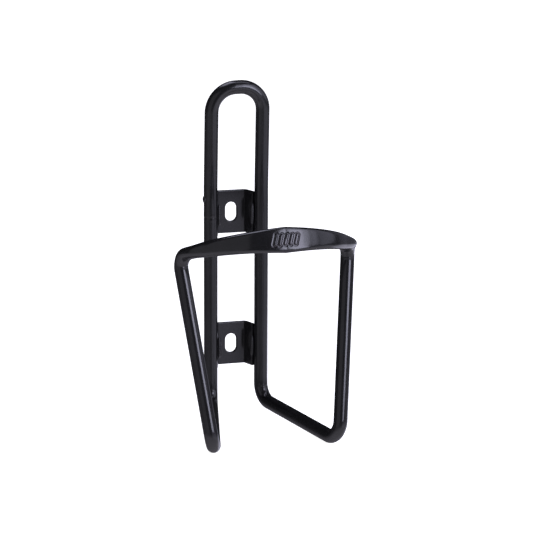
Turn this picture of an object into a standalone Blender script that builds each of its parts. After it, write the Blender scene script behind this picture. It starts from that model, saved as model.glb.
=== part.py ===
"""Water bottle cage: one bent alloy tube closed on itself and two folded mounting brackets.

The bolt frame has its origin on the plane of the two upright legs, level with the lower
bolt slot: X to the right, Y back to the bicycle, Z up. Every piece is built in it, and
the cage_origin empty sets it down so that the finished cage stands on Z = 0, centred.
"""
import math

import bmesh
import bpy
from mathutils import Matrix, Vector

MM = 0.001

# the bolt frame's place in the finished part
BOX_CENTRE_TO_LEGS = 34.06 * MM
FLOOR_TO_LOWER_SLOT = 34.02 * MM

# tube: 1/4 inch, 0.035 inch wall, and the coat on it
COAT = 0.075 * MM
TUBE_R = 3.175 * MM + COAT
TUBE_WALL = 0.89 * MM + COAT
TUBE_SIDES = 16
GAP = 0.3 * MM

# upright legs and the loop that joins their tops
LEG_X = 12.44 * MM
LEG_FOOT_Z = -26.0 * MM
LEG_FOOT_BEND = 8.3 * MM
LOOP_TOP_Z = 124.6 * MM
LOOP_BEND = 11.3 * MM
LOOP_LEAN_FROM_Z = 78.0 * MM
LOOP_LEAN = 2.2 * MM
LEAN_BEND = 120.0 * MM
# the crown slopes a little to the left, from its foot up to the loop's bends
CROWN_SLOPE = 0.033
CROWN_FOOT_Z = 104.0 * MM
CROWN_BENDS_Z = 116.0 * MM

# front foot corners, and the shoulders where the arms turn into the band
FRONT_FOOT = Vector((29.89, -65.35, -31.57)) * MM
FRONT_FOOT_BEND = 7.25 * MM
SHOULDER_BEND = 7.2 * MM
SHOULDER_RUN = 6.53 * MM
# how far the sharp shoulder bend spreads the tube sideways, where and over what distance
SHOULDER_SWELL = 1.55 * MM
SHOULDER_SWELL_ANGLE = math.radians(62.5)
SHOULDER_SWELL_REACH = 10.5 * MM
SWELL_SINKING = 0.25

# front band: an arc in a plane that falls towards the bicycle
BAND_R = 40.98 * MM
BAND_FRONT_Y = -75.34 * MM
BAND_FRONT_Z = 65.98 * MM
BAND_SLOPE = 0.352
BAND_HALF_ANGLE = math.radians(66.7)
BAND_TILT = math.radians(17.0)
BAND_HALF_HEIGHT = 5.86 * MM
BAND_HALF_THICKNESS = 1.45 * MM
FLAT_FALLOFF = 1.25
ROUND_POWER = 2.0
FLAT_POWER = 4.5

BEND_STEPS = 7
LEAN_STEPS = 2
BAND_STEPS = 28

# where the tube's two ends meet, and the spigot and pin that hold them
SEAM_Z = 63.4 * MM
PLUG_R = TUBE_R - TUBE_WALL - GAP
PLUG_LENGTH = 26.0 * MM
PIN_Z = 72.0 * MM
PIN_SHANK_R = 0.6 * MM
PIN_HEAD_R = 1.5 * MM
PIN_PROUD = 0.5 * MM
PIN_DOME = 0.7 * MM
PIN_SIDES = 16
PIN_DOME_STEPS = 4

# mounting brackets, centred on their bolt slots
SLOT_SPACING = 64.0 * MM
SHEET = 1.8 * MM
WEB_BACK_Y = 9.88 * MM
WEB_HALF_WIDTH = 7.9 * MM
BRACKET_HALF_HEIGHT = 10.3 * MM
FOLD_R = 2.2 * MM
FOLD_TURN = math.radians(74.0)
FOLD_STEPS = 5
FLANGE_LENGTH = 6.4 * MM
SLOT_WIDTH = 5.6 * MM
SLOT_LENGTH = 9.2 * MM
SLOT_ARC_STEPS = 9

# weld beads between the flanges and the legs
BEAD_R = 0.8 * MM
BEAD_LENGTH = 10.0 * MM
BEAD_ANGLE = math.radians(8.0)
BEAD_ENDS = 0.55

MERGE = 0.00001

BLACK_COAT = ("black_coat", (0.012, 0.012, 0.014, 1.0), 0.35, 0.3)
BARE_ALLOY = ("bare_alloy", (0.62, 0.62, 0.64, 1.0), 0.35, 1.0)


def clear_scene():
    for old in list(bpy.data.objects):
        bpy.data.objects.remove(old, do_unlink=True)


def new_collection(name):
    group = bpy.data.collections.new(name)
    bpy.context.scene.collection.children.link(group)
    return group


def make_material(name, colour, roughness, metallic):
    material = bpy.data.materials.new(name)
    material.use_nodes = True
    shader = material.node_tree.nodes["Principled BSDF"]
    shader.inputs["Base Color"].default_value = colour
    shader.inputs["Roughness"].default_value = roughness
    shader.inputs["Metallic"].default_value = metallic
    material.diffuse_color = colour
    return material


def add_part(name, data, cage, material):
    """One named sub-part, hung on the empty that places the bolt frame."""
    part = bpy.data.objects.new(name, data)
    data.materials.append(material)
    cage["parts"].objects.link(part)
    part.parent = cage["origin"]
    return part


def add_cutter(name, mesh, cage):
    cutter = bpy.data.objects.new(name, mesh)
    cage["cutters"].objects.link(cutter)
    cutter.parent = cage["origin"]
    cutter.hide_render = True
    cutter.display_type = "WIRE"
    return cutter


def cut(part, cutter):
    boolean = part.modifiers.new(cutter.name, "BOOLEAN")
    boolean.operation = "DIFFERENCE"
    boolean.solver = "EXACT"
    boolean.object = cutter


def thicken(part, thickness):
    """Gives an open surface its wall, grown inwards from the outer skin."""
    solidify = part.modifiers.new("wall", "SOLIDIFY")
    solidify.thickness = thickness
    solidify.offset = -1.0
    solidify.use_even_offset = True


def shade_round(mesh):
    mesh.shade_smooth()
    mesh.set_sharp_from_angle(angle=math.radians(35.0))


def cylinder_mesh(name, radius, length, sides):
    """A closed cylinder along Z, centred on the origin."""
    mesh = bpy.data.meshes.new(name)
    bm = bmesh.new()
    bmesh.ops.create_cone(bm, cap_ends=True, segments=sides, radius1=radius,
                          radius2=radius, depth=length)
    bm.to_mesh(mesh)
    bm.free()
    return mesh


# ---- the tube's centreline ----

def bend(before, corner, after, radius, steps):
    """The points of an arc that rounds off a corner between two straight runs."""
    back = (before - corner).normalized()
    ahead = (after - corner).normalized()
    half = back.angle(ahead) / 2.0
    centre = corner + (back + ahead).normalized() * (radius / math.sin(half))
    start = corner + back * (radius / math.tan(half)) - centre
    end = corner + ahead * (radius / math.tan(half)) - centre
    axis = start.cross(end).normalized()
    turn = math.pi - 2.0 * half
    return [centre + Matrix.Rotation(turn * i / steps, 3, axis) @ start
            for i in range(steps + 1)]


def band_plane(x, y):
    """A point of the band's sloping plane."""
    return Vector((x, y, BAND_FRONT_Z - BAND_SLOPE * (y - BAND_FRONT_Y)))


def band_point(angle):
    """A point of the band's arc, by its angle from the front, positive to the right."""
    centre_y = BAND_FRONT_Y + BAND_R
    return band_plane(BAND_R * math.sin(angle), centre_y - BAND_R * math.cos(angle))


def shoulder_corner():
    """Where the line that leaves the band's end meets the arm."""
    end = band_point(BAND_HALF_ANGLE)
    return band_plane(end.x + SHOULDER_RUN * math.cos(BAND_HALF_ANGLE),
                      end.y + SHOULDER_RUN * math.sin(BAND_HALF_ANGLE))


def right_side():
    """Stations from the top of the loop, down the right leg and up to the band's end."""
    crown = Vector((0.0, -LOOP_LEAN, LOOP_TOP_Z))
    loop = Vector((LEG_X, -LOOP_LEAN, LOOP_TOP_Z))
    lean = Vector((LEG_X, 0.0, LOOP_LEAN_FROM_Z))
    foot = Vector((LEG_X, 0.0, LEG_FOOT_Z))
    shoulder = shoulder_corner()
    band_end = band_point(BAND_HALF_ANGLE)
    points = bend(crown, loop, lean, LOOP_BEND, BEND_STEPS)
    points += bend(loop, lean, foot, LEAN_BEND, LEAN_STEPS)
    points += bend(lean, foot, FRONT_FOOT, LEG_FOOT_BEND, BEND_STEPS)
    points += bend(foot, FRONT_FOOT, shoulder, FRONT_FOOT_BEND, BEND_STEPS)
    points += bend(FRONT_FOOT, shoulder, band_end, SHOULDER_BEND, BEND_STEPS)
    return points[:-1]


def sloped(point):
    """A station moved up or down with the slope of the loop's crown."""
    share = (point.z - CROWN_FOOT_Z) / (CROWN_BENDS_Z - CROWN_FOOT_Z)
    share = min(max(share, 0.0), 1.0)
    return point + Vector((0.0, 0.0, CROWN_SLOPE * share * point.x))


def mirrored(points):
    return [Vector((-p.x, p.y, p.z)) for p in reversed(points)]


def centreline():
    """Stations round the whole tube, each with its angle in the band or None outside it."""
    right = right_side()
    left = mirrored(right)
    above = [p for p in left if p.z > SEAM_Z]
    below = left[:len(left) - len(above)]
    seam_top = Vector((-LEG_X, 0.0, SEAM_Z + GAP / 2.0))
    seam_foot = Vector((-LEG_X, 0.0, SEAM_Z - GAP / 2.0))
    angles = [BAND_HALF_ANGLE * (1.0 - 2.0 * i / BAND_STEPS) for i in range(BAND_STEPS + 1)]
    stations = [(p, None) for p in [seam_top] + above + right]
    stations += [(band_point(a), a) for a in angles]
    stations += [(p, None) for p in below + [seam_foot]]
    return [(sloped(p), angle) for p, angle in stations]


# ---- the tube's section ----

def flatness(angle):
    """1 at the front of the band, where the tube is pressed flattest, and 0 past its ends."""
    if angle is None:
        return 0.0
    share = 1.0 - abs(angle) / BAND_HALF_ANGLE
    return max(share, 0.0) ** FLAT_FALLOFF


def swelling(point):
    """How much wider the tube is than a round one, near the ends of the band."""
    away = Vector((abs(point.x), point.y, point.z)) - band_point(SHOULDER_SWELL_ANGLE)
    share = away.length / SHOULDER_SWELL_REACH
    return SHOULDER_SWELL * max(1.0 - share ** 2, 0.0) ** 2


def section(flat, swell):
    """Offsets (outwards, upwards) round the section: a circle, or a flattened tube."""
    half_height = TUBE_R + (BAND_HALF_HEIGHT - TUBE_R) * flat - SWELL_SINKING * swell
    half_thickness = TUBE_R + (BAND_HALF_THICKNESS - TUBE_R) * flat + swell
    power = 2.0 / (ROUND_POWER + (FLAT_POWER - ROUND_POWER) * flat)
    offsets = []
    for side in range(TUBE_SIDES):
        angle = 2.0 * math.pi * side / TUBE_SIDES
        out = math.copysign(abs(math.cos(angle)) ** power, math.cos(angle))
        up = math.copysign(abs(math.sin(angle)) ** power, math.sin(angle))
        offsets.append((out * half_thickness, up * half_height))
    return offsets


def tangents(points):
    last = len(points) - 1
    return [(points[min(i + 1, last)] - points[max(i - 1, 0)]).normalized()
            for i in range(last + 1)]


def upward(tangent):
    """The direction square to the tube that the band's flat sides run up in."""
    up = Vector((0.0, math.sin(BAND_TILT), math.cos(BAND_TILT)))
    return (up - tangent * up.dot(tangent)).normalized()


def section_ups(stations, along):
    """The section's up at each station: set by the band, and carried on from its ends."""
    in_band = [i for i, (_, angle) in enumerate(stations) if angle is not None]
    ups = [upward(t) for t in along]
    for i in range(in_band[-1] + 1, len(stations)):
        ups[i] = along[i - 1].rotation_difference(along[i]) @ ups[i - 1]
    for i in range(in_band[0] - 1, -1, -1):
        ups[i] = along[i + 1].rotation_difference(along[i]) @ ups[i + 1]
    return ups


def tube_skin():
    """The tube's outer skin, lofted through its unlike sections and open at both ends."""
    stations = centreline()
    along = tangents([point for point, _ in stations])
    ups = section_ups(stations, along)
    mesh = bpy.data.meshes.new("cage_tube")
    bm = bmesh.new()
    rings = []
    for (point, angle), tangent, up in zip(stations, along, ups):
        out = up.cross(tangent)
        rings.append([bm.verts.new(point + out * a + up * b)
                      for a, b in section(flatness(angle), swelling(point))])
    for near, far in zip(rings, rings[1:]):
        for side in range(TUBE_SIDES):
            after = (side + 1) % TUBE_SIDES
            bm.faces.new((near[side], near[after], far[after], far[side]))
    bm.to_mesh(mesh)
    bm.free()
    shade_round(mesh)
    return mesh


def pin_cutter(cage, name, radius, inner_end):
    """A bore for the pin, running outwards from a distance left of the leg's axis."""
    length = 2.0 * TUBE_R
    cutter = add_cutter(name, cylinder_mesh(name, radius, length, PIN_SIDES), cage)
    cutter.location = (-LEG_X - inner_end - length / 2.0, 0.0, PIN_Z)
    cutter.rotation_euler = (0.0, math.pi / 2.0, 0.0)
    return cutter


def build_tube(cage):
    tube = add_part("cage_tube", tube_skin(), cage, cage["black"])
    thicken(tube, TUBE_WALL)
    cut(tube, pin_cutter(cage, "tube_pin_bore", PIN_HEAD_R + GAP, PLUG_R))


# ---- the spigot and its pin ----

def build_plug(cage):
    mesh = cylinder_mesh("joint_plug", PLUG_R, PLUG_LENGTH, 2 * TUBE_SIDES)
    shade_round(mesh)
    plug = add_part("joint_plug", mesh, cage, cage["alloy"])
    plug.location = (-LEG_X, 0.0, SEAM_Z)
    cut(plug, pin_cutter(cage, "plug_pin_bore", PIN_SHANK_R + GAP, -PIN_SHANK_R))


def pin_profile():
    """Half of the pin's outline, from the middle of its domed head to its inner end."""
    top = TUBE_R + PIN_PROUD
    shoulder = TUBE_R - TUBE_WALL + GAP
    dome = []
    for step in range(PIN_DOME_STEPS + 1):
        angle = math.pi / 2.0 * step / PIN_DOME_STEPS
        dome.append((PIN_HEAD_R * math.sin(angle), top - PIN_DOME * (1.0 - math.cos(angle))))
    return dome + [(PIN_HEAD_R, shoulder), (PIN_SHANK_R, shoulder), (PIN_SHANK_R, 0.0), (0.0, 0.0)]


def build_pin(cage):
    mesh = bpy.data.meshes.new("joint_pin")
    bm = bmesh.new()
    verts = [bm.verts.new((r, 0.0, z)) for r, z in pin_profile()]
    for upper, lower in zip(verts, verts[1:]):
        bm.edges.new((upper, lower))
    bm.to_mesh(mesh)
    bm.free()
    pin = add_part("joint_pin", mesh, cage, cage["black"])
    pin.location = (-LEG_X, 0.0, PIN_Z)
    pin.rotation_euler = (0.0, -math.pi / 2.0, 0.0)
    turn = pin.modifiers.new("turn", "SCREW")
    turn.steps = PIN_SIDES
    turn.render_steps = PIN_SIDES
    turn.use_merge_vertices = True
    turn.merge_threshold = MERGE


# ---- the mounting brackets ----

def bracket_outline():
    """The right half of the channel's outer face, from the middle of its web."""
    centre = Vector((WEB_HALF_WIDTH - FOLD_R * math.tan(FOLD_TURN / 2.0), WEB_BACK_Y - FOLD_R))
    fold = [centre + FOLD_R * Vector((math.sin(turn), math.cos(turn)))
            for turn in (FOLD_TURN * i / FOLD_STEPS for i in range(FOLD_STEPS + 1))]
    flange = Vector((math.cos(FOLD_TURN), -math.sin(FOLD_TURN)))
    return [Vector((0.0, WEB_BACK_Y))] + fold + [fold[-1] + flange * FLANGE_LENGTH]


def bracket_skin(name):
    mesh = bpy.data.meshes.new(name)
    bm = bmesh.new()
    low = [bm.verts.new((p.x, p.y, -BRACKET_HALF_HEIGHT)) for p in bracket_outline()]
    edges = [bm.edges.new(pair) for pair in zip(low, low[1:])]
    raised = bmesh.ops.extrude_edge_only(bm, edges=edges)["geom"]
    top = [v for v in raised if isinstance(v, bmesh.types.BMVert)]
    bmesh.ops.translate(bm, verts=top, vec=(0.0, 0.0, 2.0 * BRACKET_HALF_HEIGHT))
    for face in bm.faces:
        face.normal_update()
        if face.normal.y < 0.0:
            face.normal_flip()
    bm.to_mesh(mesh)
    bm.free()
    shade_round(mesh)
    return mesh


def slot_cutter(cage, name, height):
    """An upright slot with round ends, right through the web."""
    radius = SLOT_WIDTH / 2.0
    reach = SLOT_LENGTH / 2.0 - radius
    curve = bpy.data.curves.new(name, "CURVE")
    curve.dimensions = "2D"
    curve.fill_mode = "BOTH"
    curve.extrude = SHEET
    spline = curve.splines.new("POLY")
    turns = [math.pi * i / SLOT_ARC_STEPS for i in range(SLOT_ARC_STEPS + 1)]
    points = [(radius * math.cos(t), reach + radius * math.sin(t)) for t in turns]
    points += [(-x, -z) for x, z in points]
    spline.points.add(len(points) - 1)
    for target, (x, z) in zip(spline.points, points):
        target.co = (x, z, 0.0, 1.0)
    spline.use_cyclic_u = True
    outline = bpy.data.objects.new(name + "_outline", curve)
    cage["cutters"].objects.link(outline)
    bpy.context.view_layer.update()
    evaluated = outline.evaluated_get(bpy.context.evaluated_depsgraph_get())
    mesh = bpy.data.meshes.new_from_object(evaluated)
    bpy.data.objects.remove(outline, do_unlink=True)
    bm = bmesh.new()
    bm.from_mesh(mesh)
    bmesh.ops.remove_doubles(bm, verts=bm.verts, dist=MERGE)
    bm.to_mesh(mesh)
    bm.free()
    cutter = add_cutter(name, mesh, cage)
    cutter.location = (0.0, WEB_BACK_Y - SHEET / 2.0, height)
    cutter.rotation_euler = (math.pi / 2.0, 0.0, 0.0)
    return cutter


def leg_cutter(cage, name, side, height):
    """The space of a leg with its clearance, which hollows the end of a flange."""
    mesh = cylinder_mesh(name, TUBE_R + GAP, 3.0 * BRACKET_HALF_HEIGHT, 2 * TUBE_SIDES)
    cutter = add_cutter(name, mesh, cage)
    cutter.location = (side * LEG_X, 0.0, height)
    return cutter


def build_bracket(cage, name, height):
    bracket = add_part(name, bracket_skin(name), cage, cage["black"])
    bracket.location = (0.0, 0.0, height)
    mirror = bracket.modifiers.new("other_half", "MIRROR")
    mirror.use_axis = (True, False, False)
    mirror.merge_threshold = MERGE
    thicken(bracket, SHEET)
    cut(bracket, slot_cutter(cage, name + "_slot", height))
    cut(bracket, leg_cutter(cage, name + "_right_leg", 1.0, height))
    cut(bracket, leg_cutter(cage, name + "_left_leg", -1.0, height))


# ---- the weld beads ----

def build_bead(cage, name, side, height):
    """A short round bead along the corner between a flange's edge and a leg."""
    reach = TUBE_R + GAP + BEAD_R
    x = side * (LEG_X - reach * math.cos(BEAD_ANGLE))
    y = reach * math.sin(BEAD_ANGLE)
    curve = bpy.data.curves.new(name, "CURVE")
    curve.dimensions = "3D"
    curve.bevel_depth = BEAD_R
    curve.bevel_resolution = 2
    curve.use_fill_caps = True
    spline = curve.splines.new("POLY")
    swell = ((-0.5, BEAD_ENDS), (-0.42, 0.9), (-0.2, 1.0), (0.2, 1.0), (0.42, 0.9), (0.5, BEAD_ENDS))
    spline.points.add(len(swell) - 1)
    for target, (place, radius) in zip(spline.points, swell):
        target.co = (x, y, height + place * BEAD_LENGTH, 1.0)
        target.radius = radius
    add_part(name, curve, cage, cage["black"])


def main():
    clear_scene()
    cage = {"parts": new_collection("bottle_cage"), "cutters": new_collection("cutters")}
    cage["black"] = make_material(*BLACK_COAT)
    cage["alloy"] = make_material(*BARE_ALLOY)
    origin = bpy.data.objects.new("cage_origin", None)
    cage["parts"].objects.link(origin)
    origin.location = (0.0, BOX_CENTRE_TO_LEGS, FLOOR_TO_LOWER_SLOT)
    cage["origin"] = origin

    build_tube(cage)
    build_plug(cage)
    build_pin(cage)
    for level, height in (("lower", 0.0), ("upper", SLOT_SPACING)):
        build_bracket(cage, level + "_bracket", height)
        for place, side in (("left", -1.0), ("right", 1.0)):
            build_bead(cage, "weld_" + level + "_" + place, side, height)
    bpy.context.view_layer.update()


main()
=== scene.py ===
"""A satin black bicycle bottle cage: its looks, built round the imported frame."""
import math

import bmesh
import bpy
import numpy as np
from mathutils import Matrix, Vector


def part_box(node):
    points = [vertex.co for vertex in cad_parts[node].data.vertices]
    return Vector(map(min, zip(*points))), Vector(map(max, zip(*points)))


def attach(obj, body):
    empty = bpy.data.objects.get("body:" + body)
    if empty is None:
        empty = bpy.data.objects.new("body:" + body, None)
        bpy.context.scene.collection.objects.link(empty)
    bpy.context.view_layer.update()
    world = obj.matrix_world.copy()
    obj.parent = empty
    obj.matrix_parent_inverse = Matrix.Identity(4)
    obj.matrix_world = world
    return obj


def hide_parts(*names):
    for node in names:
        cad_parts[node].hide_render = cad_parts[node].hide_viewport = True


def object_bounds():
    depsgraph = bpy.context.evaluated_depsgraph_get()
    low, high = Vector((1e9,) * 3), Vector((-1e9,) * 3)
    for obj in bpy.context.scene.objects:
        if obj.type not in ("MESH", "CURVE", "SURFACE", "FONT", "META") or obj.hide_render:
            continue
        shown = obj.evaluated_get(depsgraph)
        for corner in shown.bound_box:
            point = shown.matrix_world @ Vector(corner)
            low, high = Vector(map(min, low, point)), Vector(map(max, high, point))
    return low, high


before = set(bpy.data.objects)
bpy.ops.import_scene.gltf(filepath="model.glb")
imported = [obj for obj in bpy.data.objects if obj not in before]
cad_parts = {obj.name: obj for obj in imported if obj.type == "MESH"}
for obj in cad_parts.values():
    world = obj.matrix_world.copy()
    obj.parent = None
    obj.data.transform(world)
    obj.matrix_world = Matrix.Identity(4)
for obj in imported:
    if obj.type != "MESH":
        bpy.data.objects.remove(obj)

CAD_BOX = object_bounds()
MM = 0.001

# ---- places read from the frame ----
PLUG_LOW, PLUG_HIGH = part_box("joint_plug")
PIN_LOW, PIN_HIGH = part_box("joint_pin")
LOWER_LOW, LOWER_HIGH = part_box("lower_bracket")
UPPER_LOW, UPPER_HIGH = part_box("upper_bracket")

LEG_X = -(PLUG_LOW.x + PLUG_HIGH.x) / 2.0
LEG_Y = (PLUG_LOW.y + PLUG_HIGH.y) / 2.0
LOWER_Z = (LOWER_LOW.z + LOWER_HIGH.z) / 2.0
SLOT_SPACING = (UPPER_LOW.z + UPPER_HIGH.z) / 2.0 - LOWER_Z
SEAM_Z = (PLUG_LOW.z + PLUG_HIGH.z) / 2.0 - LOWER_Z
PIN_Z = (PIN_LOW.z + PIN_HIGH.z) / 2.0 - LOWER_Z
BRACKET_HALF_HEIGHT = (LOWER_HIGH.z - LOWER_LOW.z) / 2.0
WEB_BACK_Y = LOWER_HIGH.y - LEG_Y
# the bolt frame: on the plane of the legs, level with the lower slot
BOLT_FRAME = Vector((0.0, LEG_Y, LOWER_Z))

# ---- the tube's route, in the bolt frame ----
TUBE_R = 3.25 * MM
LEG_FOOT_Z = -26.0 * MM
LEG_FOOT_BEND = 8.3 * MM
LOOP_TOP_Z = 124.6 * MM
LOOP_BEND = 11.3 * MM
LOOP_LEAN_FROM_Z = 78.0 * MM
LOOP_LEAN = 2.2 * MM
LEAN_BEND = 120.0 * MM
CROWN_SLOPE = 0.033
CROWN_FOOT_Z = 104.0 * MM
CROWN_BENDS_Z = 116.0 * MM
FRONT_FOOT = Vector((29.89, -65.35, -31.57)) * MM
FRONT_FOOT_BEND = 7.25 * MM
SHOULDER_BEND = 7.2 * MM
SHOULDER_RUN = 6.53 * MM
SHOULDER_SWELL = 1.55 * MM
SHOULDER_SWELL_ANGLE = math.radians(62.5)
SHOULDER_SWELL_REACH = 10.5 * MM
SWELL_SINKING = 0.25
BAND_R = 40.98 * MM
BAND_FRONT_Y = -75.34 * MM
BAND_FRONT_Z = 65.98 * MM
BAND_SLOPE = 0.352
BAND_HALF_ANGLE = math.radians(66.7)

# ---- the flattened band's section ----
BAND_TILT = math.radians(17.0)
BAND_HALF_HEIGHT = 5.86 * MM
BAND_HALF_THICKNESS = 1.45 * MM
FLAT_FALLOFF = 1.25
FACET_EDGE = 0.35 * MM
# below this flatness the facet's edge sharpens until it is gone
FACET_EDGE_FROM = 0.1
# the skin's points crowd towards the band's front, less and less between two angles in degrees
CROWDING = 0.6
CROWDING_FADE = (15.0, 40.0)

# ---- the raised bars on the band's front, with a shallow moat round each ----
BAR_COUNT = 5
BAR_PITCH = 2.35 * MM
BAR_R = 0.68 * MM
BAR_REACH = 1.9 * MM
BAR_SLANT = 0.3
BAR_RAISED = 0.2 * MM
BAR_EDGE_INSIDE = 0.35 * MM
BAR_EDGE_OUTSIDE = 0.05 * MM
BAR_MOAT = 0.16 * MM
BAR_MOAT_OFF_BAR = 0.25 * MM
BAR_MOAT_WIDTH = 0.32 * MM

# ---- the seam where the tube's two ends meet ----
SEAM_DEPTH = 0.05 * MM
SEAM_WIDTH = 0.22 * MM
SEAM_SWELL = 0.035 * MM
SEAM_SWELL_WIDTH = 1.1 * MM

# ---- the creases that bending leaves inside the sharp bends ----
# ridges and a dent: height, place along the bend, width along it
LEG_FOOT_RIDGES = ((0.15 * MM, 0.93, 0.08), (0.13 * MM, 0.7, 0.08), (-0.12 * MM, 0.82, 0.05))
LEG_FOOT_NARROWING = 3
# rows of ripples, placed by shares of the bend; "narrowing" is a power of the cosine round the tube
RIPPLES = {
    "front_foot": {"height": 0.25 * MM, "sinking": 0.0, "waves": 2.5, "crest": 0.5,
                   "middle": 0.5, "width": 0.25, "narrowing": 7},
    "shoulder": {"height": 0.16 * MM, "sinking": 0.08 * MM, "waves": 4.3, "crest": 0.62,
                 "middle": 0.68, "width": 0.22, "narrowing": 6},
}

# ---- how finely the tube is drawn ----
SIDES = 96
STRAIGHT_STEP = 2.5 * MM
SEAM_STEP = 0.12 * MM
SEAM_REACH = 3.0 * MM
BEND_STEP = 0.3 * MM
EMBLEM_REACH = 8.5 * MM
EMBLEM_STEP = 0.14 * MM
BAND_STEP = 0.5 * MM

# ---- brackets ----
SHEET = 1.8 * MM
WEB_HALF_WIDTH = 7.9 * MM
FOLD_R = 2.2 * MM
FOLD_TURN = math.radians(74.0)
FOLD_STEPS = 14
FLANGE_LENGTH = 6.35 * MM
SLOT_WIDTH = 5.6 * MM
SLOT_LENGTH = 9.2 * MM
SLOT_STEPS = 25
SHEET_EDGE = 0.45 * MM
SHEET_EDGE_SEGMENTS = 3
SHEET_EDGE_FROM_ANGLE = math.radians(40.0)
SHARP_FROM_ANGLE = math.radians(35.0)

# ---- weld beads ----
BEAD_R = 0.95 * MM
BEAD_PITCH = 1.15 * MM
BEAD_RIPPLE = 0.09
BEAD_RIPPLE_MIDDLE = 0.6
BEAD_END_POWER = 5
BEAD_STEPS = 96
BEAD_SIDES = 24

# ---- pin ----
PIN_SIDES = 48
PIN_HEAD_R = 1.5 * MM
PIN_EDGE = 0.25 * MM
PIN_DOME = 0.45 * MM
PIN_DOME_STEPS = 12
PIN_DOME_POWER = 0.8
PIN_ROOT_SHORTER = 2.0 * MM
PIN_ROOT_R = 0.3 * PIN_HEAD_R
# the radius at which a tapering end is closed
LEAST_R = 0.01 * MM

# ---- coat and alloy ----
# noise textures keep mostly to this range
NOISE_RANGE = (0.3, 0.7)
COAT_CLOUD = 9.0 * MM
COAT_PEEL = 0.8 * MM
COAT_GRAIN = 0.12 * MM
COAT_PEEL_HEIGHT = 0.0025 * MM
COAT_GRAIN_HEIGHT = 0.0003 * MM
COAT_DARK = (0.0045, 0.0045, 0.005, 1.0)
COAT_LIGHT = (0.0065, 0.0065, 0.0075, 1.0)
COAT_ROUGHNESS = (0.15, 0.19)
ALLOY_CLOUD = 4.0 * MM
ALLOY_RING_SCALE = 2.0 * MM
ALLOY_RING_HEIGHT = 0.01 * MM
ALLOY_RING_WANDER = 1.5
ALLOY_DARK = (0.5, 0.5, 0.52, 1.0)
ALLOY_LIGHT = (0.66, 0.66, 0.68, 1.0)
ALLOY_ROUGHNESS = (0.28, 0.42)

# ---- camera: angles in degrees, distances in metres, lens and sensor in millimetres ----
CAMERA_AZIMUTH = -17.52
CAMERA_ELEVATION = 11.74
CAMERA_ROLL = 0.21
CAMERA_DISTANCE = 1.1038
CAMERA_LENS = 162.1013
CAMERA_SENSOR = 36.0
CAMERA_CLIP_START = 0.05

# ---- lights: the directions they fill, in degrees, their radiance and colour ----
COOL = (0.96, 0.96, 1.2)
PLAIN = (1.0, 0.985, 1.09)
SOFTBOX_DISTANCE = 1.5
SOFTBOXES = (
    ("key_low", (15.0, 43.0), (6.0, 16.0), 6.5, COOL),
    ("key_middle", (16.0, 38.0), (16.0, 28.0), 6.5, COOL),
    ("key_upper", (18.0, 36.0), (28.0, 46.0), 3.0, COOL),
    ("key_falling", (38.0, 48.0), (16.0, 46.0), 3.6, COOL),
    ("key_fallen", (48.0, 60.0), (12.0, 46.0), 1.8, COOL),
    ("low_fill", (10.0, 80.0), (-26.0, -3.0), 0.5, COOL),
    ("side_fill", (60.0, 92.0), (6.0, 50.0), 0.95, COOL),
    ("back_fill", (98.0, 140.0), (-30.0, 30.0), 0.2, COOL),
    ("low_back_right", (96.0, 150.0), (-42.0, -14.0), 0.8, COOL),
    ("left_fill", (-88.0, -27.0), (-10.0, 45.0), 0.3, PLAIN),
    ("top_softbox", (150.0, 240.0), (54.0, 90.0), 3.0, COOL),
    ("top_right", (60.0, 120.0), (58.0, 80.0), 1.2, COOL),
)

# ---- floor and room ----
FLOOR_HALF = 4.0
FLOOR_COLOUR = (0.8, 0.8, 0.8, 1.0)
FLOOR_ROUGHNESS = 0.9
WHITE = (1.0, 1.0, 1.0, 1.0)
# the room is pale below and dark above: places from straight down, 0, to straight up, 1
ROOM_LOW = (0.25, (0.82, 0.79, 0.9, 1.0))
ROOM_HIGH = (0.45, (0.1, 0.098, 0.108, 1.0))
# it dims from front to back, by the direction's Y
ROOM_DIMS_OVER = (-0.2, 0.8)
ROOM_STRENGTH = (1.0, 0.25)


def bolt(x, y, z):
    """A point given in the bolt frame, in millimetres, in the row frame."""
    return BOLT_FRAME + Vector((x, y, z)) * MM


# ---- the tube's route ----

def bend(before, corner, after, radius):
    """An arc that rounds a corner: (point, direction, direction to the arc's centre, share)."""
    back = (before - corner).normalized()
    ahead = (after - corner).normalized()
    half = back.angle(ahead) / 2.0
    centre = corner + (back + ahead).normalized() * (radius / math.sin(half))
    start = corner + back * (radius / math.tan(half)) - centre
    end = corner + ahead * (radius / math.tan(half)) - centre
    axis = start.cross(end).normalized()
    turn = math.pi - 2.0 * half
    steps = max(2, math.ceil(turn * radius / BEND_STEP))
    found = []
    for i in range(steps + 1):
        spin = Matrix.Rotation(turn * i / steps, 3, axis)
        found.append((centre + spin @ start, spin @ -back, -(spin @ start).normalized(), i / steps))
    return found


def band_plane(x, y):
    """The point of the band's sloping plane over (x, y)."""
    return Vector((x, y, BAND_FRONT_Z - BAND_SLOPE * (y - BAND_FRONT_Y)))


def band_point(angle):
    """The point of the band's middle line at an angle from its front."""
    centre_y = BAND_FRONT_Y + BAND_R
    return band_plane(BAND_R * math.sin(angle), centre_y - BAND_R * math.cos(angle))


def band_direction(angle):
    return Vector((math.cos(angle), math.sin(angle), -BAND_SLOPE * math.sin(angle))).normalized()


def band_angles():
    """Angles from the middle of the band to its end, closer together at the raised bars."""
    angles = [0.0]
    while angles[-1] < BAND_HALF_ANGLE:
        at_bars = angles[-1] * BAND_R < EMBLEM_REACH
        angles.append(angles[-1] + (EMBLEM_STEP if at_bars else BAND_STEP) / BAND_R)
    return angles[:-1]


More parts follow.
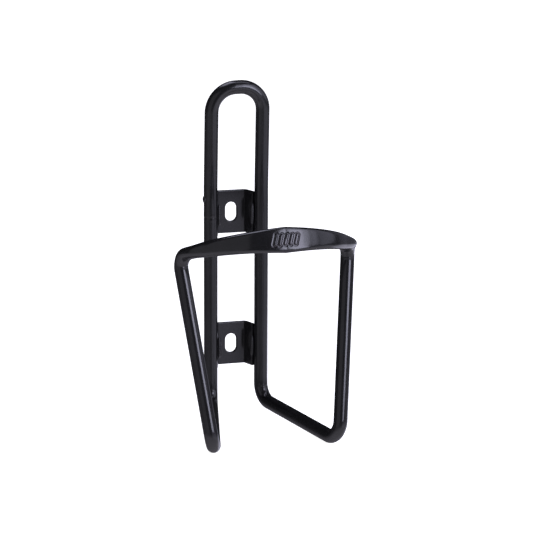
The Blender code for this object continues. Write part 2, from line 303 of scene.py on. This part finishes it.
def shoulder_corner():
    """Where the straight run on from the band meets the line of the arm."""
    end = band_point(BAND_HALF_ANGLE)
    return band_plane(end.x + SHOULDER_RUN * math.cos(BAND_HALF_ANGLE),
                      end.y + SHOULDER_RUN * math.sin(BAND_HALF_ANGLE))


def station(point, along, inward=None, share=0.0, name="", angle=None):
    """One place on the route; only those in a bend have an inward side, a share and a name."""
    return {"point": point, "along": along, "inward": inward, "share": share,
            "name": name, "angle": angle}


def add_straight(route, end):
    """Stations between the route's last point and the start of its next bend."""
    start = route[-1]["point"]
    length = (end - start).length
    along = (end - start).normalized()
    reach = 0.0
    while True:
        near_seam = abs((start + along * reach).z - SEAM_Z) < SEAM_REACH + STRAIGHT_STEP
        reach += SEAM_STEP if near_seam else STRAIGHT_STEP
        if reach > length - SEAM_STEP:
            break
        route.append(station(start + along * reach, along))


def right_half():
    """Stations from the middle of the band, down the right arm and up to the loop's crown."""
    shoulder = shoulder_corner()
    foot = Vector((LEG_X, 0.0, LEG_FOOT_Z))
    lean = Vector((LEG_X, 0.0, LOOP_LEAN_FROM_Z))
    loop = Vector((LEG_X, -LOOP_LEAN, LOOP_TOP_Z))
    crown = Vector((0.0, -LOOP_LEAN, LOOP_TOP_Z))
    corners = [band_point(BAND_HALF_ANGLE), shoulder, FRONT_FOOT, foot, lean, loop, crown]
    bends = [("shoulder", SHOULDER_BEND), ("front_foot", FRONT_FOOT_BEND),
             ("leg_foot", LEG_FOOT_BEND), ("lean", LEAN_BEND), ("loop", LOOP_BEND)]
    route = [station(band_point(a), band_direction(a), angle=a) for a in band_angles()]
    for i, (name, radius) in enumerate(bends):
        arc = bend(corners[i], corners[i + 1], corners[i + 2], radius)
        add_straight(route, arc[0][0])
        route += [station(p, t, inward, share, name) for p, t, inward, share in arc]
    add_straight(route, crown)
    route.append(station(crown, Vector((-1.0, 0.0, 0.0))))
    return route


def section_frames(route):
    """(outward, upward) at each station: upright in the band, carried on from there."""
    frames = []
    for i, here in enumerate(route):
        along = here["along"]
        if here["angle"] is not None:
            up = Vector((0.0, math.sin(BAND_TILT), math.cos(BAND_TILT)))
        else:
            up = route[i - 1]["along"].rotation_difference(along) @ frames[-1][1]
        up = (up - along * up.dot(along)).normalized()
        frames.append((up.cross(-along), up))
    return frames


# ---- the tube's skin ----

def smoothstep(x, low, high):
    t = np.clip((x - low) / (high - low), 0.0, 1.0)
    return t * t * (3.0 - 2.0 * t)


def bump(x, middle, width):
    return np.exp(-((x - middle) / width) ** 2)


def flatness(angle):
    """How flat the tube is pressed: 1 in the middle of the band, 0 from its ends on."""
    if angle is None:
        return 0.0
    return max(1.0 - abs(angle) / BAND_HALF_ANGLE, 0.0) ** FLAT_FALLOFF


def swelling(point):
    """How much wider the tube is than a round one, near the band's end."""
    share = (point - band_point(SHOULDER_SWELL_ANGLE)).length / SHOULDER_SWELL_REACH
    return SHOULDER_SWELL * max(1.0 - share ** 2, 0.0) ** 2


def pressed_section(flat, swell, thetas):
    """The round tube pressed between two flat dies: offsets (outwards, upwards)."""
    height = TUBE_R + (BAND_HALF_HEIGHT - TUBE_R) * flat - SWELL_SINKING * swell
    thick = TUBE_R + (BAND_HALF_THICKNESS - TUBE_R) * flat
    edge = FACET_EDGE * min(1.0, flat / FACET_EDGE_FROM)
    out = TUBE_R * np.cos(thetas)
    size = np.abs(out)
    clamped = 0.5 * (size + thick - np.sqrt((size - thick) ** 2 + edge ** 2))
    if flat <= 0.0:
        clamped = size
    widened = np.sign(out) * clamped * (1.0 + swell / TUBE_R)
    return widened, height * np.sin(thetas)


def bars(along, up):
    """How far the front stands out at the slanted bars, and in at the moats round them."""
    relief = np.zeros_like(up)
    for i in range(BAR_COUNT):
        middle = (i - (BAR_COUNT - 1) / 2.0) * BAR_PITCH
        share = np.clip(up / BAR_REACH, -1.0, 1.0)
        nearest_x = middle + BAR_SLANT * BAR_REACH * share
        edge = np.hypot(along - nearest_x, up - BAR_REACH * share) - BAR_R
        raised = BAR_RAISED * (1.0 - smoothstep(edge, -BAR_EDGE_INSIDE, BAR_EDGE_OUTSIDE))
        moat = BAR_MOAT * bump(edge, BAR_MOAT_OFF_BAR, BAR_MOAT_WIDTH)
        relief = relief + raised - moat
    return relief


def crease(name, share, cosine):
    """How far the skin stands off the plain tube in a bend, by share and side."""
    side = np.clip(cosine, 0.0, 1.0)
    if name == "leg_foot":
        ridges = sum(height * bump(share, middle, width) for height, middle, width in LEG_FOOT_RIDGES)
        return ridges * side ** LEG_FOOT_NARROWING
    if name in RIPPLES:
        row = RIPPLES[name]
        wave = math.cos(2.0 * math.pi * row["waves"] * (share - row["crest"]))
        reach = bump(share, row["middle"], row["width"])
        return (row["height"] * wave - row["sinking"]) * reach * side ** row["narrowing"]
    return 0.0 * side


def on_leg(here):
    """Whether a station is on a leg, between the foot and the loop."""
    point = here["point"]
    return here["angle"] is None and point.x > LEG_X - MM and point.y > -LOOP_LEAN


def seam(height):
    """How far the skin stands off the plain tube at a height on the leg with the seam."""
    off_seam = height - SEAM_Z
    groove = SEAM_DEPTH * bump(off_seam, 0.0, SEAM_WIDTH)
    swell = SEAM_SWELL * bump(abs(off_seam), SEAM_SWELL_WIDTH, SEAM_SWELL_WIDTH / 2.0)
    return swell - groove


def ring(here, out, up, left):
    """The skin's points round one station."""
    base = 2.0 * math.pi * np.arange(SIDES) / SIDES
    angle = here["angle"]
    crowd = 0.0
    if angle is not None:
        crowd = CROWDING * (1.0 - smoothstep(math.degrees(angle), *CROWDING_FADE))
    thetas = base - crowd * np.sin(base)
    a, b = pressed_section(flatness(angle), swelling(here["point"]), thetas)
    if angle is not None and angle * BAND_R < EMBLEM_REACH:
        relief = bars(angle * BAND_R * (-1.0 if left else 1.0), b)
        a = a + np.where(np.cos(thetas) > 0.0, relief, 0.0)
    grown = np.ones(SIDES)
    if here["inward"] is not None:
        u = here["inward"].dot(out)
        v = here["inward"].dot(up)
        cosine = np.cos(thetas) * u + np.sin(thetas) * v
        grown = grown + crease(here["name"], here["share"], cosine) / TUBE_R
    if left and on_leg(here):
        grown = grown + seam(here["point"].z) / TUBE_R
    return np.array(here["point"]) + np.outer(a * grown, out) + np.outer(b * grown, up)


def tube_points():
    """Rings round the whole tube, from the middle of the band and back to it."""
    route = right_half()
    frames = section_frames(route)
    right = np.array([ring(s, out, up, False) for s, (out, up) in zip(route, frames)])
    left = np.array([ring(s, out, up, True) for s, (out, up) in zip(route, frames)])
    left = left[::-1] * np.array([-1.0, 1.0, 1.0])
    rings = np.concatenate([right, left[1:-1]])
    crown = smoothstep(rings[..., 2], CROWN_FOOT_Z, CROWN_BENDS_Z)
    rings[..., 2] += CROWN_SLOPE * crown * rings[..., 0]
    rings = rings + np.array(BOLT_FRAME)
    return np.clip(rings, np.array(CAD_BOX[0]), np.array(CAD_BOX[1]))


def skin_mesh(name, rings):
    """A closed skin through rings that end where they begin."""
    count, sides, _ = rings.shape
    index = np.arange(count * sides).reshape(count, sides)
    after = np.roll(index, -1, axis=0)
    quads = np.stack([index, np.roll(index, -1, axis=1),
                      np.roll(after, -1, axis=1), after], axis=-1).reshape(-1, 4)
    return smooth_mesh(name, rings.reshape(-1, 3).tolist(), quads.tolist())


def smooth_mesh(name, points, faces):
    """A smoothly shaded mesh whose faces all look outwards."""
    mesh = bpy.data.meshes.new(name)
    mesh.from_pydata(points, [], faces)
    bm = bmesh.new()
    bm.from_mesh(mesh)
    bmesh.ops.recalc_face_normals(bm, faces=bm.faces)
    bm.to_mesh(mesh)
    bm.free()
    mesh.shade_smooth()
    return mesh


# ---- brackets ----

def sheet_line():
    """The right half of the channel's outer face, from the middle of its web, with normals."""
    centre = Vector((WEB_HALF_WIDTH - FOLD_R * math.tan(FOLD_TURN / 2.0), WEB_BACK_Y - FOLD_R))
    line = [(Vector((0.0, WEB_BACK_Y)), Vector((0.0, 1.0)))]
    for i in range(FOLD_STEPS + 1):
        turn = FOLD_TURN * i / FOLD_STEPS
        normal = Vector((math.sin(turn), math.cos(turn)))
        line.append((centre + FOLD_R * normal, normal))
    end, normal = line[-1]
    line.append((end + Vector((normal.y, -normal.x)) * FLANGE_LENGTH, normal))
    return line


def channel_outline():
    """The channel's closed section: right half outside and in, then the left half."""
    line = sheet_line()
    outer = [p for p, n in line]
    inner = [p - n * SHEET for p, n in line]
    right = outer[1:] + inner[:0:-1]
    left = [Vector((-p.x, p.y)) for p in reversed(right)]
    return right + left


def prism(name, outline, low, high):
    """A closed solid between two copies of an outline, set apart along Z."""
    count = len(outline)
    points = [(p.x, p.y, low) for p in outline] + [(p.x, p.y, high) for p in outline]
    sides = [(i, (i + 1) % count, (i + 1) % count + count, i + count) for i in range(count)]
    faces = sides + [tuple(range(count)), tuple(range(count, 2 * count))]
    return smooth_mesh(name, points, faces)


def slot_outline():
    """A slot with round ends, in its own plane."""
    radius = SLOT_WIDTH / 2.0
    reach = SLOT_LENGTH / 2.0 - radius
    turns = [math.pi * i / SLOT_STEPS for i in range(SLOT_STEPS + 1)]
    top = [Vector((radius * math.cos(t), reach + radius * math.sin(t))) for t in turns]
    return top + [-p for p in top]


def punch(mesh, cutter_mesh):
    """The first mesh with the second one's space cut out of it, and its edges rounded."""
    part = bpy.data.objects.new(mesh.name, mesh)
    mesh.set_sharp_from_angle(angle=SHARP_FROM_ANGLE)
    cutter = bpy.data.objects.new(cutter_mesh.name, cutter_mesh)
    for obj in (part, cutter):
        bpy.context.scene.collection.objects.link(obj)
    boolean = part.modifiers.new("slot", "BOOLEAN")
    boolean.operation = "DIFFERENCE"
    boolean.solver = "EXACT"
    boolean.object = cutter
    edges = part.modifiers.new("edges", "BEVEL")
    edges.width = SHEET_EDGE
    edges.segments = SHEET_EDGE_SEGMENTS
    edges.limit_method = "ANGLE"
    edges.angle_limit = SHEET_EDGE_FROM_ANGLE
    edges.harden_normals = True
    edges.use_clamp_overlap = False
    bpy.context.view_layer.update()
    evaluated = part.evaluated_get(bpy.context.evaluated_depsgraph_get())
    cut = bpy.data.meshes.new_from_object(evaluated)
    for obj in (part, cutter):
        bpy.data.objects.remove(obj, do_unlink=True)
    return cut


def bracket_mesh(name, height):
    """A slotted channel whose slot is at a height in the bolt frame."""
    channel = prism(name, channel_outline(), -BRACKET_HALF_HEIGHT, BRACKET_HALF_HEIGHT)
    slot = prism(name + "_slot", slot_outline(), -2.0 * SHEET, 2.0 * SHEET)
    upright = Matrix.Rotation(math.pi / 2.0, 4, "X")
    slot.transform(Matrix.Translation((0.0, WEB_BACK_Y, 0.0)) @ upright)
    cut = punch(channel, slot)
    cut.name = name
    cut.transform(Matrix.Translation(BOLT_FRAME + Vector((0.0, 0.0, height))))
    return cut


# ---- weld beads and pin ----

def bead_mesh(name, node):
    """A weld bead: an upright rope of overlapping ripples with rounded ends."""
    low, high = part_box(node)
    middle = (low + high) / 2.0
    length = high.z - low.z
    rows = []
    for i in range(BEAD_STEPS + 1):
        place = (i / BEAD_STEPS - 0.5) * 2.0
        taper = max(1.0 - abs(place) ** BEAD_END_POWER, 0.0) ** 0.5
        phase = place * length / 2.0 / BEAD_PITCH
        ripple = 1.0 + BEAD_RIPPLE * (abs(math.sin(math.pi * phase)) - BEAD_RIPPLE_MIDDLE)
        radius = max(BEAD_R * taper * ripple, LEAST_R)
        turns = 2.0 * math.pi * np.arange(BEAD_SIDES) / BEAD_SIDES
        rows.append(np.stack([middle.x + radius * np.cos(turns), middle.y + radius * np.sin(turns),
                              np.full(BEAD_SIDES, middle.z + place * length / 2.0)], axis=-1))
    return capped_mesh(name, np.array(rows))


def capped_mesh(name, rings):
    """A closed skin through rings, with a face across each end."""
    count, sides, _ = rings.shape
    index = np.arange(count * sides).reshape(count, sides)
    turned = np.roll(index, -1, axis=1)
    quads = np.stack([index[:-1], turned[:-1], turned[1:], index[1:]], axis=-1).reshape(-1, 4)
    faces = quads.tolist() + [index[0].tolist(), index[-1].tolist()]
    return smooth_mesh(name, rings.reshape(-1, 3).tolist(), faces)


def pin_mesh(name):
    """The pin's head, turned about the X axis: a low dome with a soft edge."""
    root = PIN_HIGH.x - PIN_ROOT_SHORTER
    rim = PIN_LOW.x + PIN_DOME
    profile = [(root, PIN_ROOT_R), (root, PIN_HEAD_R), (rim + PIN_EDGE, PIN_HEAD_R)]
    for i in range(1, PIN_DOME_STEPS + 1):
        turn = math.pi / 2.0 * i / PIN_DOME_STEPS
        radius = PIN_HEAD_R * math.cos(turn) ** PIN_DOME_POWER
        profile.append((rim - (rim - PIN_LOW.x) * math.sin(turn), radius))
    turns = 2.0 * math.pi * np.arange(PIN_SIDES) / PIN_SIDES
    rows = []
    for x, radius in profile:
        radius = max(radius, LEAST_R)
        rows.append(np.stack([np.full(PIN_SIDES, x), LEG_Y + radius * np.cos(turns),
                              LOWER_Z + PIN_Z + radius * np.sin(turns)], axis=-1))
    return capped_mesh(name, np.array(rows))


# ---- materials ----

def new_material(name):
    material = bpy.data.materials.new(name)
    material.use_nodes = True
    return material, material.node_tree.nodes, material.node_tree.links


def noise(nodes, links, coordinates, wavelength, detail):
    """A noise texture whose blobs are about one wavelength apart, in metres."""
    texture = nodes.new("ShaderNodeTexNoise")
    texture.inputs["Scale"].default_value = 1.0 / wavelength
    texture.inputs["Detail"].default_value = detail
    links.new(coordinates, texture.inputs["Vector"])
    return texture.outputs["Fac"]


def mapped(nodes, links, source, before, after):
    """The source with one range of its values spread over another range."""
    spread = nodes.new("ShaderNodeMapRange")
    spread.inputs["From Min"].default_value = before[0]
    spread.inputs["From Max"].default_value = before[1]
    spread.inputs["To Min"].default_value = after[0]
    spread.inputs["To Max"].default_value = after[1]
    links.new(source, spread.inputs["Value"])
    return spread.outputs["Result"]


def coloured(nodes, links, source, *stops):
    """A colour ramp between two stops: (place in the source, colour)."""
    ramp = nodes.new("ShaderNodeValToRGB")
    for element, (place, colour) in zip(ramp.color_ramp.elements, stops):
        element.position = place
        element.color = colour
    links.new(source, ramp.inputs["Fac"])
    return ramp.outputs["Color"]


def bumped(nodes, links, source, height, below=None):
    """A bump of a height in metres, laid over another one."""
    layer = nodes.new("ShaderNodeBump")
    layer.inputs["Distance"].default_value = height
    links.new(source, layer.inputs["Height"])
    if below is not None:
        links.new(below, layer.inputs["Normal"])
    return layer.outputs["Normal"]


def black_coat():
    """Satin black powder coat: orange peel, fine grain and slightly uneven gloss."""
    material, nodes, links = new_material("satin_black_coat")
    shader = nodes["Principled BSDF"]
    place = nodes.new("ShaderNodeTexCoord").outputs["Object"]
    cloud = noise(nodes, links, place, COAT_CLOUD, detail=3.0)
    peel = noise(nodes, links, place, COAT_PEEL, detail=1.0)
    grain = noise(nodes, links, place, COAT_GRAIN, detail=2.0)
    colour = coloured(nodes, links, cloud, (NOISE_RANGE[0], COAT_DARK), (NOISE_RANGE[1], COAT_LIGHT))
    links.new(colour, shader.inputs["Base Color"])
    roughness = mapped(nodes, links, cloud, NOISE_RANGE, COAT_ROUGHNESS)
    links.new(roughness, shader.inputs["Roughness"])
    normal = bumped(nodes, links, peel, COAT_PEEL_HEIGHT)
    links.new(bumped(nodes, links, grain, COAT_GRAIN_HEIGHT, normal), shader.inputs["Normal"])
    return material


def bare_alloy():
    """Turned alloy: fine rings across the spigot and a dull oxide cloud."""
    material, nodes, links = new_material("turned_bare_alloy")
    shader = nodes["Principled BSDF"]
    shader.inputs["Metallic"].default_value = 1.0
    place = nodes.new("ShaderNodeTexCoord").outputs["Object"]
    rings = nodes.new("ShaderNodeTexWave")
    rings.bands_direction = "Z"
    rings.inputs["Scale"].default_value = 1.0 / ALLOY_RING_SCALE
    rings.inputs["Distortion"].default_value = ALLOY_RING_WANDER
    links.new(place, rings.inputs["Vector"])
    cloud = noise(nodes, links, place, ALLOY_CLOUD, detail=3.0)
    colour = coloured(nodes, links, cloud, (NOISE_RANGE[0], ALLOY_DARK), (NOISE_RANGE[1], ALLOY_LIGHT))
    links.new(colour, shader.inputs["Base Color"])
    roughness = mapped(nodes, links, cloud, NOISE_RANGE, ALLOY_ROUGHNESS)
    links.new(roughness, shader.inputs["Roughness"])
    links.new(bumped(nodes, links, rings.outputs["Fac"], ALLOY_RING_HEIGHT), shader.inputs["Normal"])
    return material


# ---- the pieces ----

def add_piece(name, mesh, material, node):
    """A visible piece that rides on the root and stands for a CAD node."""
    piece = bpy.data.objects.new(name, mesh)
    bpy.context.scene.collection.objects.link(piece)
    mesh.materials.clear()
    mesh.materials.append(material)
    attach(piece, "root")
    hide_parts(node)
    return piece


def add_cage():
    """Every piece that is seen, and the bare alloy of the spigot that isn't."""
    black = black_coat()
    add_piece("bent_tube", skin_mesh("bent_tube", tube_points()), black, "cage_tube")
    add_piece("pin_head", pin_mesh("pin_head"), black, "joint_pin")
    for level, height in (("lower", 0.0), ("upper", SLOT_SPACING)):
        name = level + "_channel"
        add_piece(name, bracket_mesh(name, height), black, level + "_bracket")
        for side in ("left", "right"):
            name = level + "_" + side + "_bead"
            node = "weld_" + level + "_" + side
            add_piece(name, bead_mesh(name, node), black, node)
    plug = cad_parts["joint_plug"]
    plug.data.materials.clear()
    plug.data.materials.append(bare_alloy())


# ---- the stage ----

def look_from(azimuth, elevation, roll=0.0):
    """Axes (right, up, back) of something that looks at the cage from a direction."""
    a = math.radians(azimuth)
    e = math.radians(elevation)
    back = Vector((math.sin(a) * math.cos(e), -math.cos(a) * math.cos(e), math.sin(e)))
    right = Vector((math.cos(a), math.sin(a), 0.0))
    turned = Matrix.Rotation(math.radians(roll), 3, back)
    return turned @ right, turned @ back.cross(right), back


def set_down(name, data, axes, place):
    """A new object whose axes and place are given."""
    obj = bpy.data.objects.new(name, data)
    bpy.context.scene.collection.objects.link(obj)
    obj.matrix_world = Matrix.Translation(place) @ Matrix(axes).transposed().to_4x4()
    return obj


def add_camera():
    axes = look_from(CAMERA_AZIMUTH, CAMERA_ELEVATION, CAMERA_ROLL)
    data = bpy.data.cameras.new("camera")
    data.sensor_width = CAMERA_SENSOR
    data.lens = CAMERA_LENS
    data.clip_start = CAMERA_CLIP_START
    looked_at = bolt(4.56, -33.52, 45.40)
    camera = set_down("camera", data, axes, looked_at + axes[2] * CAMERA_DISTANCE)
    bpy.context.scene.camera = camera


def add_softbox(name, azimuths, elevations, radiance, colour):
    """A rectangular soft light that fills a range of directions seen from the cage."""
    azimuth = sum(azimuths) / 2.0
    elevation = sum(elevations) / 2.0
    light = bpy.data.lights.new(name, "AREA")
    light.shape = "RECTANGLE"
    half_wide = math.radians(azimuths[1] - azimuths[0]) / 2.0 * math.cos(math.radians(elevation))
    half_tall = math.radians(elevations[1] - elevations[0]) / 2.0
    light.size = 2.0 * SOFTBOX_DISTANCE * math.tan(half_wide)
    light.size_y = 2.0 * SOFTBOX_DISTANCE * math.tan(half_tall)
    light.energy = radiance * math.pi * light.size * light.size_y
    light.color = colour
    axes = look_from(azimuth, elevation)
    aimed_at = bolt(0.0, -30.0, 45.0)
    softbox = set_down(name, light, axes, aimed_at + axes[2] * SOFTBOX_DISTANCE)
    softbox.visible_camera = False


def add_lights():
    for name, azimuths, elevations, radiance, colour in SOFTBOXES:
        add_softbox(name, azimuths, elevations, radiance, colour)


def add_floor():
    """A wide floor that shines white by itself and takes no shadow."""
    corners = [(x * FLOOR_HALF, y * FLOOR_HALF, 0.0) for x, y in ((-1, -1), (1, -1), (1, 1), (-1, 1))]
    mesh = bpy.data.meshes.new("floor")
    mesh.from_pydata(corners, [], [(0, 1, 2, 3)])
    floor = bpy.data.objects.new("floor", mesh)
    bpy.context.scene.collection.objects.link(floor)
    floor.visible_glossy = False
    floor.visible_shadow = False
    material, nodes, links = new_material("pale_floor")
    shader = nodes["Principled BSDF"]
    shader.inputs["Base Color"].default_value = FLOOR_COLOUR
    shader.inputs["Roughness"].default_value = FLOOR_ROUGHNESS
    shader.inputs["Emission Color"].default_value = WHITE
    shader.inputs["Emission Strength"].default_value = 1.0
    mesh.materials.append(material)


def add_world():
    """White behind the cage, and a dimmer room for what it reflects."""
    world = bpy.data.worlds.new("studio")
    bpy.context.scene.world = world
    world.use_nodes = True
    nodes = world.node_tree.nodes
    links = world.node_tree.links
    room = nodes["Background"]
    backdrop = nodes.new("ShaderNodeBackground")
    backdrop.inputs["Color"].default_value = WHITE
    split = nodes.new("ShaderNodeSeparateXYZ")
    links.new(nodes.new("ShaderNodeTexCoord").outputs["Generated"], split.inputs["Vector"])
    height = mapped(nodes, links, split.outputs["Z"], (-1.0, 1.0), (0.0, 1.0))
    links.new(coloured(nodes, links, height, ROOM_LOW, ROOM_HIGH), room.inputs["Color"])
    strength = mapped(nodes, links, split.outputs["Y"], ROOM_DIMS_OVER, ROOM_STRENGTH)
    links.new(strength, room.inputs["Strength"])
    mix = nodes.new("ShaderNodeMixShader")
    links.new(nodes.new("ShaderNodeLightPath").outputs["Is Camera Ray"], mix.inputs["Fac"])
    links.new(room.outputs["Background"], mix.inputs[1])
    links.new(backdrop.outputs["Background"], mix.inputs[2])
    links.new(mix.outputs["Shader"], nodes["World Output"].inputs["Surface"])


add_cage()
add_camera()
add_lights()
add_floor()
add_world()
bpy.context.scene.view_settings.view_transform = "Standard"
